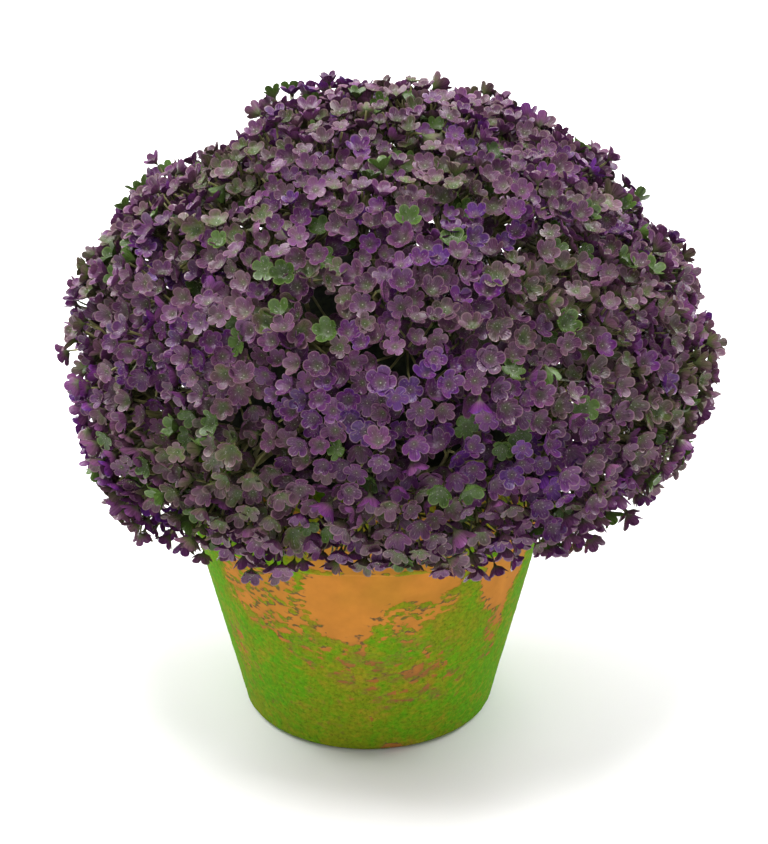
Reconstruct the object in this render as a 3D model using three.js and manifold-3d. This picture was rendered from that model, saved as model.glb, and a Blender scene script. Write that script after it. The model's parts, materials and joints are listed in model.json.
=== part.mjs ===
// Potted verbena ball: a moulded plastic verbena whose sprays stand in a foam core, in a clay pot.
// Millimetres, +Z up, origin at the centre of the pot's flat underside.

import * as THREE from 'three';
import { mergeVertices } from 'three/addons/utils/BufferGeometryUtils.js';
import Module from 'manifold-3d';

const wasm = await Module();
wasm.setup();

// Driving dimensions of the pot
const POT_HEIGHT = 134;
const POT_BASE_RADIUS = 55;
const POT_WALL_SLOPE = 0.24;
const POT_WALL = 7.2;
const POT_FLOOR = 8;
const POT_FOOT_ROUNDING = 4;
const POT_SIDES = 40;
const COLLAR_LOW = 98.4;
const COLLAR_LOW_RADIUS = 83.4;
const COLLAR_TOP_RADIUS = 85.5;
const COLLAR_EDGE_ROUNDING = 1.4;
const LIP_ROUNDING = 2.2;
const DRAIN_COUNT = 3;
const DRAIN_RADIUS = 4.5;
const DRAIN_CIRCLE_RADIUS = 24;
const DRAIN_SIDES = 12;

// Driving dimensions of the foam core
const FOAM_SHOULDER_HEIGHT = 124;
const FOAM_DOME_FOOT_HEIGHT = 129;
const FOAM_DOME_RADIUS = 60;
const FOAM_DOME_RISE = 76;
const FOAM_DOME_STEPS = 5;

// Driving dimensions of the flower head: its outline is a superellipse, flatter below its centre
const HEAD_CENTRE = new THREE.Vector3(7.8, 0, 159);
const HEAD_RADIUS = 138;
const HEAD_RISE = 121;
const HEAD_DROP = 105;
const HEAD_FULLNESS = 1.85;
const HEAD_LOWEST_ELEVATION = THREE.MathUtils.degToRad(-25);
const FLORET_LAYER = 14;
const SPRAY_CROWN = 7;
const COLLAR_CLEARANCE = 2.5;
const GROUP_GAP = 1;
const GRID_STEPS = 4;
const CAP_SIDES = 12;

// The sprays row by row from the top: where the first one points, how far out their stems fork,
// and how far each reaches against the ellipsoid, anticlockwise
const SPRAY_ROWS = [
  { turn: 0, fork: 78, reach: [1] },
  { turn: 22, fork: 78, reach: [1.03, 0.98, 1.03, 1, 0.99, 1.01] },
  { turn: 0, fork: 82, reach: [1, 1.02, 0.98, 1, 1.02, 1.02, 0.99, 1.01, 0.99, 1] },
  { turn: 8, fork: 95, reach: [1.02, 0.98, 1, 1.02, 0.99, 0.97, 1, 0.99, 1, 0.98, 1] },
];

// Driving dimensions of the stems
const STEM_ROOT = 28;
const STEM_RADIUS = 1.8;
const STEM_LOWEST_ELEVATION = THREE.MathUtils.degToRad(-8);
const STEM_SIDES = 6;
const ARM_RADIUS = 1;
const ARM_SIDES = 5;
const FORK_RADIUS = 3.2;
const FIT_GAP = 0.3;
const SEAT_GAP = 0.45;

// Joins a geometry's shared corners and hands it over as a solid for cutting and joining.
function toSolid(geometry) {
  const plain = geometry.clone();
  plain.deleteAttribute('normal');
  plain.deleteAttribute('uv');
  const merged = mergeVertices(plain, 1e-4);
  return new wasm.Manifold(new wasm.Mesh({
    numProp: 3,
    vertProperties: new Float32Array(merged.attributes.position.array),
    triVerts: new Uint32Array(merged.index.array),
  }));
}

// Turns a solid back into a geometry.
function toGeometry(solid) {
  const mesh = solid.getMesh();
  const geometry = new THREE.BufferGeometry();
  geometry.setAttribute('position', new THREE.BufferAttribute(new Float32Array(mesh.vertProperties), 3));
  geometry.setIndex(new THREE.BufferAttribute(new Uint32Array(mesh.triVerts), 1));
  geometry.computeVertexNormals();
  return geometry;
}

// A solid turned about the Z axis from a profile of (radius, height) pairs.
function turned(profile, sides) {
  const points = profile.map(([radius, height]) => new THREE.Vector2(radius, height));
  const geometry = new THREE.LatheGeometry(points, sides);
  geometry.rotateX(Math.PI / 2);
  return geometry;
}

// A straight round rod between two points.
function rod(start, end, radius, sides) {
  const along = new THREE.Vector3().subVectors(end, start);
  const geometry = new THREE.CylinderGeometry(radius, radius, along.length(), sides);
  const upright = new THREE.Vector3(0, 1, 0);
  geometry.applyQuaternion(new THREE.Quaternion().setFromUnitVectors(upright, along.clone().normalize()));
  geometry.translate(...new THREE.Vector3().addVectors(start, end).multiplyScalar(0.5).toArray());
  return geometry;
}

// Points of a quarter round of the given radius about a centre, between two angles in degrees.
function arc(centreRadius, centreHeight, radius, fromDegrees, toDegrees, steps) {
  return Array.from({ length: steps + 1 }, (_, step) => {
    const angle = THREE.MathUtils.degToRad(fromDegrees + (toDegrees - fromDegrees) * step / steps);
    return [centreRadius + radius * Math.cos(angle), centreHeight + radius * Math.sin(angle)];
  });
}

const outerWall = (height) => POT_BASE_RADIUS + POT_WALL_SLOPE * height;
const innerWall = (height) => outerWall(height) - POT_WALL;

// The clay pot: flat foot, sloping wall, thick collar with a rounded lip, drain holes in the floor.
function makePot() {
  const lipHeight = POT_HEIGHT - LIP_ROUNDING;
  const foot = POT_FOOT_ROUNDING;
  const edge = COLLAR_EDGE_ROUNDING;
  const profile = [
    [0, 0],
    ...arc(POT_BASE_RADIUS - foot + POT_WALL_SLOPE * foot, foot, foot, -90, 0, 3),
    [outerWall(COLLAR_LOW), COLLAR_LOW],
    ...arc(COLLAR_LOW_RADIUS - edge, COLLAR_LOW + edge, edge, -90, 0, 2),
    ...arc(COLLAR_TOP_RADIUS - LIP_ROUNDING, lipHeight, LIP_ROUNDING, 0, 90, 2),
    [innerWall(lipHeight) + LIP_ROUNDING / 2, POT_HEIGHT],
    [innerWall(lipHeight), lipHeight],
    [innerWall(POT_FLOOR), POT_FLOOR],
    [0, POT_FLOOR],
  ];
  let pot = toSolid(turned(profile, POT_SIDES));
  for (let hole = 0; hole < DRAIN_COUNT; hole += 1) {
    const angle = 2 * Math.PI * hole / DRAIN_COUNT + Math.PI / 2;
    const x = DRAIN_CIRCLE_RADIUS * Math.cos(angle);
    const y = DRAIN_CIRCLE_RADIUS * Math.sin(angle);
    const below = new THREE.Vector3(x, y, -POT_FLOOR);
    const above = new THREE.Vector3(x, y, 2 * POT_FLOOR);
    pot = pot.subtract(toSolid(rod(below, above, DRAIN_RADIUS, DRAIN_SIDES)));
  }
  return toGeometry(pot);
}

// A direction from the head's centre.
function direction(azimuth, elevation) {
  return new THREE.Vector3(
    Math.cos(elevation) * Math.cos(azimuth),
    Math.cos(elevation) * Math.sin(azimuth),
    Math.sin(elevation),
  );
}

// A point at a distance from the head's centre.
const atDistance = (way, distance) => HEAD_CENTRE.clone().addScaledVector(way, distance);

// The head's outer radius at an elevation, before a spray's own reach.
function envelope(elevation) {
  const upright = elevation > 0 ? HEAD_RISE : HEAD_DROP;
  const level = Math.abs(Math.cos(elevation) / HEAD_RADIUS) ** HEAD_FULLNESS;
  const rise = Math.abs(Math.sin(elevation) / upright) ** HEAD_FULLNESS;
  return (level + rise) ** (-1 / HEAD_FULLNESS);
}

// The outer radius of one spray at a direction, crowned so that it falls away towards its edges.
// Edge runs from 0 at the middle of the spray to 1 at its rim.
function outerRadius(spray, elevation, edge) {
  return envelope(elevation) * spray.reach - SPRAY_CROWN * edge ** 2;
}

// The inner radius of the floret layer at a direction, kept outside the pot's collar.
function innerRadius(spray, { way, elevation, edge }) {
  const layer = outerRadius(spray, elevation, edge) - FLORET_LAYER;
  const point = atDistance(way, layer);
  const clear = COLLAR_TOP_RADIUS + COLLAR_CLEARANCE;
  if (point.z > POT_HEIGHT + COLLAR_CLEARANCE || Math.hypot(point.x, point.y) > clear) {
    return layer;
  }
  const flat = Math.hypot(way.x, way.y);
  const offset = HEAD_CENTRE.x * way.x / flat;
  const reachOut = -offset + Math.sqrt(offset ** 2 + clear ** 2 - HEAD_CENTRE.x ** 2);
  return reachOut / flat;
}

// The sprays: rows of equal share of the dome, each spray with its sector of the head.
function layOutSprays() {
  const total = SPRAY_ROWS.reduce((sum, row) => sum + row.reach.length, 0);
  const share = (1 - Math.sin(HEAD_LOWEST_ELEVATION)) / total;
  const sprays = [];
  let high = Math.PI / 2;
  for (const row of SPRAY_ROWS) {
    const low = Math.asin(Math.max(-1, Math.sin(high) - share * row.reach.length));
    row.reach.forEach((reach, place) => {
      const step = 2 * Math.PI / row.reach.length;
      const azimuth = THREE.MathUtils.degToRad(row.turn) + step * place;
      const isCap = row.reach.length === 1;
      sprays.push({ reach, low, high, azimuth, halfWidth: step / 2, fork: row.fork, isCap });
    });
    high = low;
  }
  return sprays;
}

// The grid of directions over a spray's sector, pulled in by half the gap between neighbours.
function sectorGrid(spray) {
  const grid = [];
  const inset = GROUP_GAP / 2 / HEAD_RISE;
  for (let row = 0; row <= GRID_STEPS; row += 1) {
    const low = spray.low + inset;
    const high = spray.high - inset;
    const elevation = low + (high - low) * row / GRID_STEPS;
    const half = spray.halfWidth - inset / Math.cos(elevation);
    const line = [];
    for (let column = 0; column <= GRID_STEPS; column += 1) {
      const across = 2 * column / GRID_STEPS - 1;
      const up = 2 * row / GRID_STEPS - 1;
      const way = direction(spray.azimuth + half * across, elevation);
      line.push({ way, elevation, edge: Math.hypot(across, up) / Math.SQRT2 });
    }
    grid.push(line);
  }
  return grid;
}

// The florets of one spray as a closed curved slab over its sector.
function makeSectorSlab(spray) {
  const grid = sectorGrid(spray);
  const positions = [];
  const faces = [];
  const width = GRID_STEPS + 1;
  const layerSize = width * width;
  for (const inner of [false, true]) {
    for (const line of grid) {
      for (const cell of line) {
        const outside = outerRadius(spray, cell.elevation, cell.edge);
        const distance = inner ? innerRadius(spray, cell) : outside;
        positions.push(...atDistance(cell.way, distance).toArray());
      }
    }
  }
  const quad = (a, b, c, d) => faces.push(a, b, c, a, c, d);
  for (let row = 0; row < GRID_STEPS; row += 1) {
    for (let column = 0; column < GRID_STEPS; column += 1) {
      const corner = row * width + column;
      quad(corner, corner + 1, corner + width + 1, corner + width);
      const back = corner + layerSize;
      quad(back, back + width, back + width + 1, back + 1);
    }
  }
  for (let step = 0; step < GRID_STEPS; step += 1) {
    const bottom = step;
    const top = GRID_STEPS * width + step;
    const left = step * width;
    const right = step * width + GRID_STEPS;
    quad(bottom + 1, bottom, bottom + layerSize, bottom + 1 + layerSize);
    quad(top, top + 1, top + 1 + layerSize, top + layerSize);
    quad(left, left + width, left + width + layerSize, left + layerSize);
    quad(right + width, right, right + layerSize, right + width + layerSize);
  }
  const geometry = new THREE.BufferGeometry();
  geometry.setAttribute('position', new THREE.BufferAttribute(new Float32Array(positions), 3));
  geometry.setIndex(faces);
  geometry.computeVertexNormals();
  return geometry;
}

// The angle from the vertical that the top spray's cap covers.
const capHalfAngle = (spray) => Math.PI / 2 - spray.low - GROUP_GAP / 2 / HEAD_RISE;

// The florets of the top spray as a closed round cap.
function makeCapSlab(spray) {
  const half = capHalfAngle(spray);
  const profile = [];
  for (const [depth, edges] of [[FLORET_LAYER, [0, 0.5, 1]], [0, [1, 0.5, 0]]]) {
    for (const edge of edges) {
      const radius = outerRadius(spray, Math.PI / 2 - half * edge, edge) - depth;
      profile.push([radius * Math.sin(half * edge), radius * Math.cos(half * edge)]);
    }
  }
  const geometry = toGeometry(toSolid(turned(profile, CAP_SIDES)));
  geometry.translate(...HEAD_CENTRE.toArray());
  return geometry;
}

// The directions and distances of the corners under the floret layer that one spray's arms carry.
function armSeats(spray) {
  let cells;
  if (spray.isCap) {
    const elevation = Math.PI / 2 - capHalfAngle(spray) / 2;
    const around = [0, 1, 2, 3].map((quarter) => direction(quarter * Math.PI / 2, elevation));
    cells = around.map((way) => ({ way, elevation, edge: 0.5 }));
    cells.push({ way: direction(0, Math.PI / 2), elevation: Math.PI / 2, edge: 0 });
  } else {
    const grid = sectorGrid(spray);
    cells = [grid[2][2], grid[1][1], grid[1][3], grid[3][1], grid[3][3]];
  }
  return cells.map((cell) => ({ way: cell.way, distance: innerRadius(spray, cell) }));
}

// The end of an arm that runs from the fork to its seat, short enough that its tilted end face is clear.
function armEnd(fork, { way, distance }) {
  const seat = atDistance(way, distance);
  const along = seat.clone().sub(fork).normalize();
  const rise = along.dot(way);
  const tilt = ARM_RADIUS * Math.sqrt(1 - rise ** 2);
  return seat.addScaledVector(along, -(SEAT_GAP + tilt) / rise);
}

// The direction that one spray's stem takes from the foam, level enough to pass over the pot's lip.
function stemWay(spray) {
  if (spray.isCap) {
    return direction(0, Math.PI / 2);
  }
  const middle = Math.asin((Math.sin(spray.low) + Math.sin(spray.high)) / 2);
  return direction(spray.azimuth, Math.max(middle, STEM_LOWEST_ELEVATION));
}

// One spray's moulded stem: a shaft that stands in the foam, a fork, and arms to its florets.
function makeStems(spray) {
  const way = stemWay(spray);
  const fork = atDistance(way, spray.fork);
  const shaft = rod(atDistance(way, STEM_ROOT), fork, STEM_RADIUS, STEM_SIDES);
  const knuckle = new THREE.OctahedronGeometry(FORK_RADIUS);
  knuckle.translate(...fork.toArray());
  let stems = toSolid(shaft).add(toSolid(knuckle));
  for (const seat of armSeats(spray)) {
    stems = stems.add(toSolid(rod(fork, armEnd(fork, seat), ARM_RADIUS, ARM_SIDES)));
  }
  return toGeometry(stems);
}

// The foam core: a plug that fills the pot, a dome over it, and a hole for every stem.
function makeFoam(sprays) {
  const profile = [
    [0, POT_FLOOR + FIT_GAP],
    [innerWall(POT_FLOOR) - FIT_GAP, POT_FLOOR + FIT_GAP],
    [innerWall(FOAM_SHOULDER_HEIGHT) - FIT_GAP, FOAM_SHOULDER_HEIGHT],
  ];
  for (let step = 0; step <= FOAM_DOME_STEPS; step += 1) {
    const angle = Math.PI / 2 * step / FOAM_DOME_STEPS;
    const radius = step === FOAM_DOME_STEPS ? 0 : FOAM_DOME_RADIUS * Math.cos(angle);
    profile.push([radius, FOAM_DOME_FOOT_HEIGHT + FOAM_DOME_RISE * Math.sin(angle)]);
  }
  let foam = toSolid(turned(profile, POT_SIDES));
  const holeRadius = STEM_RADIUS + FIT_GAP / Math.cos(Math.PI / STEM_SIDES);
  for (const spray of sprays) {
    const way = stemWay(spray);
    const start = atDistance(way, STEM_ROOT - FIT_GAP);
    foam = foam.subtract(toSolid(rod(start, atDistance(way, spray.fork), holeRadius, STEM_SIDES)));
  }
  return toGeometry(foam);
}

// Finishes
const terracotta = new THREE.MeshStandardMaterial({ color: 0xb8803c, roughness: 0.9, metalness: 0 });
const foamGreen = new THREE.MeshStandardMaterial({ color: 0x1d2a16, roughness: 0.95, metalness: 0 });
const stemGreen = new THREE.MeshStandardMaterial({ color: 0x3c4a26, roughness: 0.5, metalness: 0 });
const petalMauve = new THREE.MeshStandardMaterial({ color: 0x6e4b78, roughness: 0.4, metalness: 0 });

// A named mesh in its own finish.
function piece(name, geometry, material) {
  const mesh = new THREE.Mesh(geometry, material);
  mesh.name = name;
  return mesh;
}

const sprays = layOutSprays();
const group = new THREE.Group();
group.add(piece('pot', makePot(), terracotta));
group.add(piece('foam_core', makeFoam(sprays), foamGreen));
sprays.forEach((spray, index) => {
  const number = String(index + 1).padStart(2, '0');
  const florets = spray.isCap ? makeCapSlab(spray) : makeSectorSlab(spray);
  group.add(piece(`stems_${number}`, makeStems(spray), stemGreen));
  group.add(piece(`florets_${number}`, florets, petalMauve));
});

export default group;
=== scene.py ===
# Potted verbena: a ball of moulded plastic florets on forked stems, in a mossy clay pot.
# Metres, +Z up, origin at the centre of the pot's flat underside. The front is towards -Y.

import json
import math

import bpy
import numpy as np
from bpy.props import FloatProperty, FloatVectorProperty, IntProperty, PointerProperty
from bpy.types import Operator, Panel, PropertyGroup
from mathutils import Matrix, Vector
from mathutils.kdtree import KDTree

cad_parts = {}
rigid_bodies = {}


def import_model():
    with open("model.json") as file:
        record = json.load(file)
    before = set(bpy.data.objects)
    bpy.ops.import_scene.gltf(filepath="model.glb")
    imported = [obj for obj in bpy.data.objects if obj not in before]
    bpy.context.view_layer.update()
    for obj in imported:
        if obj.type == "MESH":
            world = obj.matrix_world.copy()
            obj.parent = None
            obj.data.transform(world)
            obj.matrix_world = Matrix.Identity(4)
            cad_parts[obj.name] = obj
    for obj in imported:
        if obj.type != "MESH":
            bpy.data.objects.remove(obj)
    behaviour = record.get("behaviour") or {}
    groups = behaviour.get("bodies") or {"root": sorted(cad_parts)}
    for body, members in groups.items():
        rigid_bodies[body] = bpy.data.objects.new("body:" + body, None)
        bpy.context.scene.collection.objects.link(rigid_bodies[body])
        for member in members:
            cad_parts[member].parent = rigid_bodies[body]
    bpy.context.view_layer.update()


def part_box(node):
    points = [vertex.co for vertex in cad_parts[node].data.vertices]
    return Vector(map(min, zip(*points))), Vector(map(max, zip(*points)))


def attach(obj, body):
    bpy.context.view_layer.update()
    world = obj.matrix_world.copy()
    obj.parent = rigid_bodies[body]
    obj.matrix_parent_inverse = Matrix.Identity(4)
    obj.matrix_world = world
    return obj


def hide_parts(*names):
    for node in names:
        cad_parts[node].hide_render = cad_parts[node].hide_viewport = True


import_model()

bl_info = {
    "name": "Potted Verbena",
    "version": (1, 0, 0),
    "blender": (4, 5, 0),
    "location": "3D View > Sidebar > Verbena",
    "description": "Builds a potted verbena of moulded plastic around its packed frame",
    "category": "Add Mesh",
}

BODY = "root"

# Pot, as its CAD solid
POT_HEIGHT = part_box("pot")[1].z
POT_BASE_RADIUS = 0.055
POT_WALL_SLOPE = 0.24
POT_FLOOR = 0.008
POT_FOOT_ROUNDING = 0.004
COLLAR_LOW = 0.0984
COLLAR_LOW_RADIUS = 0.0834
COLLAR_TOP_RADIUS = 0.0855
COLLAR_EDGE_ROUNDING = 0.0014
LIP_ROUNDING = 0.0022
COLLAR_CLEARANCE = 0.003
DRAIN_COUNT = 3
DRAIN_RADIUS = 0.0045
DRAIN_CIRCLE_RADIUS = 0.024
DRAIN_ZONE = 0.036
DRILL_BOTTOM = -0.01
DRILL_TOP = 0.02
DRILL_SIDES = 24
POT_SIDES = 240
OUTER_STEP = 0.0014
INNER_STEP = 0.012

# Foam core, as its CAD solid
FOAM_GAP = 0.0003
FOAM_SHOULDER_HEIGHT = 0.124
FOAM_DOME_FOOT_HEIGHT = 0.129
FOAM_DOME_RADIUS = 0.060
FOAM_DOME_RISE = 0.076
FOAM_SIDES = 96
FOAM_DOME_STEPS = 28
FOAM_WALL_STEP = 0.02

# Flower head, as its CAD solids
HEAD_CENTRE = np.array((0.0078, 0.0, 0.159))
HEAD_RADIUS = 0.138
HEAD_RISE = 0.121
HEAD_DROP = 0.105
HEAD_FULLNESS = 1.85
HEAD_LOWEST = math.radians(-25)
SPRAY_CROWN = 0.005
STEM_ROOT = 0.028
STEM_LOWEST = math.radians(-8)

# The sprays row by row from the top: azimuth of the first in degrees, distance of the fork from the
# head's centre, and how far each reaches against the head's outline, anticlockwise
SPRAY_ROWS = (
    (0, 0.078, (1,)),
    (22, 0.078, (1.03, 0.98, 1.03, 1, 0.99, 1.01)),
    (0, 0.082, (1, 1.02, 0.98, 1, 1.02, 1.02, 0.99, 1.01, 0.99, 1)),
    (8, 0.095, (1.02, 0.98, 1, 1.02, 0.99, 0.97, 1, 0.99, 1, 0.98, 1)),
)

# Bumps and hollows of the head: azimuth and elevation in degrees, height in millimetres
LUMPS = (
    (-37, -30, 2), (-31, -24, -5), (-26, -18, -10.5), (-22, -11, -1), (-16, -5, -1.5), (-13, 0, 5.5),
    (-6, 6, 3.5), (-5, 14, 6), (2, 28, -1), (5, 35, -4), (8, 42, 3), (11, 49, -1.5), (18, 55, -6),
    (21, 62, 6), (29, 68, -4.5), (44, 73, 5), (72, 79, -1), (107, 78, -3), (134, 75, 1), (146, 69, 3),
    (156, 63, -7), (164, 57, -15.5), (150, 43, -12), (-170, 52, -7), (164, 49, -5), (171, 43, 7),
    (172, 35, 2), (176, 28, -4.5), (-180, 21, 0), (-178, 13, 5.5), (-174, 6, -4.5), (-163, -5, 1.5),
    (-159, -12, -5), (-154, -19, 9), (-148, -25, 0), (-140, -30, 8.5),
)
LUMP_SPREAD = math.radians(8)

# Where the florets lean to violet (below 0) or to green (above 0): azimuth, elevation, lean
TINT_PATCHES = (
    (-62, 46, -0.22), (-70, 54, 0.3), (-97, 54, -0.2), (-150, 57, 0.2), (-103, 32, 0.22), (-131, 14, -0.25),
    (-60, 5, -0.25), (-59, 23, 0.22), (-52, 38, -0.15), (-33, 26, 0.12), (-20, 13, 0.1), (-100, 9, -0.2),
    (-117, -1, 0.4), (-72, 2, -0.3), (-160, 8, -0.2), (-143, 42, 0.18), (-83, 18, -0.15), (-95, 74, 0.2),
    (-10, 45, -0.25), (20, 20, 0.3), (45, 40, -0.3), (60, 5, 0.3), (80, 60, -0.2), (90, 25, -0.3),
    (110, 50, 0.25), (135, 10, 0.3), (150, -5, -0.25), (160, 30, -0.25),
)
TINT_PATCH_SPREAD = math.radians(10)

# Gaps between the umbels: azimuth and elevation in degrees, radius in millimetres
GAPS = (
    (-104, 30, 8.5), (-120, 46, 7), (-87, 52, 6), (-103, 22, 7.5), (-172, 53, 8), (-77, 46, 7), (-144, 13, 9),
    (-57, 15, 8), (-82, 3, 7), (-61, 44, 7.5), (-100, 39, 7), (-87, 19, 8), (-57, 38, 6.5), (-112, 3, 7.5),
    (-101, -7, 6), (-86, -9, 6), (-150, 34, 9), (-24, 22, 8), (0, 40, 8), (30, 20, 8), (60, 40, 9),
    (85, 10, 8), (110, 35, 9), (140, 50, 8), (150, 15, 9), (178, 20, 8), (163, 48, 9), (148, 41, 9),
)

GOLDEN_TURN = math.pi * (3 - math.sqrt(5))

# Umbels: where they stand in a spray's sector, how much their places and heights vary, and the rounds
# in which they and their florets are pushed apart, each by a share of the distance that lacks
UMBEL_GRID = (-0.66, 0.0, 0.66)
UMBEL_STAGGER = 0.16
CAP_UMBELS = 7
CAP_RING = 0.62
UMBEL_SPACING = 0.0272
UMBEL_TILT = 0.22
UMBEL_JITTER = 0.03
UMBEL_HEIGHT_JITTER = 0.0016
LOWEST_UMBEL = HEAD_LOWEST + math.radians(5)
UMBEL_ROUNDS = 16
FLORET_ROUNDS = 14
PUSH_SHARE = 0.45

# The fringe in front of the pot: its least height, its rise at the middle, its extent in radians from
# the front, and how much of a floret's hanging below it stays
FRINGE_HEIGHT = 0.104
FRINGE_RISE = 0.018
FRINGE_MIDDLE = 0.07
FRINGE_SPREAD = 0.29
FRINGE_END = 0.75
FRINGE_HANG = 0.3

# Florets: how they fan out and how long their stalks are
FIRST_PLACE = 0.35
FAN_JITTER = 0.2
STALK_RANGE = (0.92, 1.08)
OUTER_STALK_GAIN = 0.12
STALK_JITTER = 0.06
DEEPER_BY = (0.004, 0.012)

# Which way they face: mostly along their stalks, and the lower ones down
SPOKE_SHARE = 0.65
FLORET_TILT = 0.3
TURNED_AWAY_SHARE = 0.07
TURNED_AWAY_TILT = 0.9
DROOP_SLOPE = 1.6
DROOP_START = 0.3
DROOP_RANGE = (-0.65, 0.14)

# How they lean to violet or green, and vary in size
MEAN_LEAN = 0.59
UMBEL_LEAN_JITTER = 0.13
FLORET_LEAN_JITTER = 0.15
GREEN_SHARE = 0.055
GREEN_GAIN = 0.2
MEAN_SIZE = 0.99
SIZE_JITTER = 0.11
TOP_START = 0.6
TOP_SIZE_LOSS = 0.08
TINTS = 8
VARIANTS = 4
CELL_COUNT = 8
CELL_RADIUS = 0.46


def shade(code):
    """A linear colour from a six-digit sRGB code."""
    parts = [int(code[place:place + 2], 16) / 255 for place in (0, 2, 4)]
    return tuple(part / 12.92 if part < 0.04045 else ((part + 0.055) / 1.055) ** 2.4 for part in parts)


def colour(name, description, code):
    """A colour that a user may change."""
    return FloatVectorProperty(
        name=name, description=description, subtype="COLOR", size=3, min=0, max=1, default=shade(code)
    )


def length(name, description, default):
    """A length in metres that a user may change."""
    return FloatProperty(
        name=name, description=description, default=default, min=0, precision=5, unit="LENGTH",
        subtype="DISTANCE",
    )


def power(name, description, default):
    """A light's power in watts that a user may change."""
    return FloatProperty(name=name, description=description, default=default, unit="POWER")


class PotSettings(PropertyGroup):
    """Sizes and colours of the clay pot."""

    wall: length("Wall", "Thickness of the clay wall", 0.0072)
    moss_thickness: length("Moss thickness", "How far the moss stands out of the clay", 0.0005)
    clay: colour("Clay", "Bare terracotta", "BE7C30")
    clay_dull: colour("Dull clay", "Terracotta that carries a film of moss", "9C7420")
    clay_worn: colour("Worn clay", "Reddish clay of the chips low on the pot", "96602E")
    moss: colour("Moss", "Olive moss in the middle of the pot", "68780E")
    moss_fresh: colour("Fresh moss", "Green of the thicker moss", "4E860A")
    # Scratches: the dark of scratches and smudges, and of the painted shadow on one side of the chips
    scratch_and_shadow: colour("Scratches", "Dark edges of chips and scratches", "5C4A36")


class FloretSettings(PropertyGroup):
    """Sizes and colours of the florets."""

    width: length("Width", "Across the lobes of a floret", 0.0091)
    spacing: length("Spacing", "Least distance between neighbours", 0.0075)
    depth: length("Depth", "How far the florets' bases lie under the head's outline", 0.0055)
    stalk: length("Stalk", "Length of a floret's own stalk", 0.0225)
    fan: FloatProperty(
        name="Fan", description="Half the angle that an umbel opens to", default=math.radians(37),
        subtype="ANGLE",
    )
    per_umbel: IntProperty(name="Florets", description="Florets in an umbel", default=18, min=1)
    deeper: FloatProperty(
        name="Deeper", description="Share of the florets that stand under the others", default=0.36,
        subtype="FACTOR",
    )
    seed: IntProperty(name="Seed", description="Picks one of many layouts", default=15)
    deep: colour("Deep violet", "The bluest lobes", "693388")
    violet: colour("Violet", "Vivid lobes", "702E7E")
    mauve: colour("Mauve", "Most of the lobes", "7D4975")
    dusky: colour("Dusky mauve", "Duller lobes", "775862")
    sage: colour("Sage", "Grey-green lobes", "68723E")
    green: colour("Green", "Bright green lobes", "587634")
    heart: colour("Heart", "Olive grey of the throats", "545640")
    # Rim: the lobes' pale edge, partly a painted highlight
    rim: colour("Rim", "Pale edge of the lobes", "A88C88")


class StemSettings(PropertyGroup):
    """Sizes and colours of the stems."""

    shaft: length("Shaft", "Thickness of the stem in the foam", 0.0036)
    arm: length("Arm", "Thickness of an arm", 0.0021)
    stalk: length("Stalk", "Thickness of a floret's stalk", 0.0010)
    # Dark and pale olive: partly the stems' own olive, partly painted shade and painted light
    dark: colour("Dark olive", "Stems in the depth of the head", "4C4A28")
    pale: colour("Pale olive", "Stems that catch the light", "98945E")


class FoamSettings(PropertyGroup):
    """Finish of the foam core."""

    roughness: length("Roughness", "Height of the foam's torn surface", 0.0008)
    # Dark foam in the hollows and light foam on the ridges paint shade and light on the grain
    dark: colour("Dark foam", "Foam in its hollows", "12160C")
    light: colour("Light foam", "Foam on its ridges", "2A3418")


class StageSettings(PropertyGroup):
    """Floor, light and camera."""

    floor: colour("Floor", "Plain pale floor", "ECECEC")
    key: power("Key light", "Power of the large light overhead", 28.0)
    front: power("Front light", "Power of the light beside the camera", 5.0)
    fill: power("Fill light", "Power of each side light", 32.0)
    back: power("Back light", "Power of the light on the floor behind", 42.0)
    sky: FloatProperty(name="Sky", description="Strength of the white surroundings", default=0.48)


def arithmetic(operation, reflected=False):
    """An operator of a field, or its reflected form, as a Math node."""

    def result(field, other):
        return field.net.math(operation, *((other, field) if reflected else (field, other)))

    return result


class Field:
    """A socket that takes part in arithmetic: an expression on fields adds its Math nodes."""

    def __init__(self, net, socket):
        self.net = net
        self.socket = socket

    def out(self, place):
        """Another output of the same node."""
        return Field(self.net, self.socket.node.outputs[place])

    __add__, __radd__ = arithmetic("ADD"), arithmetic("ADD", True)
    __sub__, __rsub__ = arithmetic("SUBTRACT"), arithmetic("SUBTRACT", True)
    __mul__, __rmul__ = arithmetic("MULTIPLY"), arithmetic("MULTIPLY", True)
    __truediv__, __rtruediv__ = arithmetic("DIVIDE"), arithmetic("DIVIDE", True)


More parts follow.
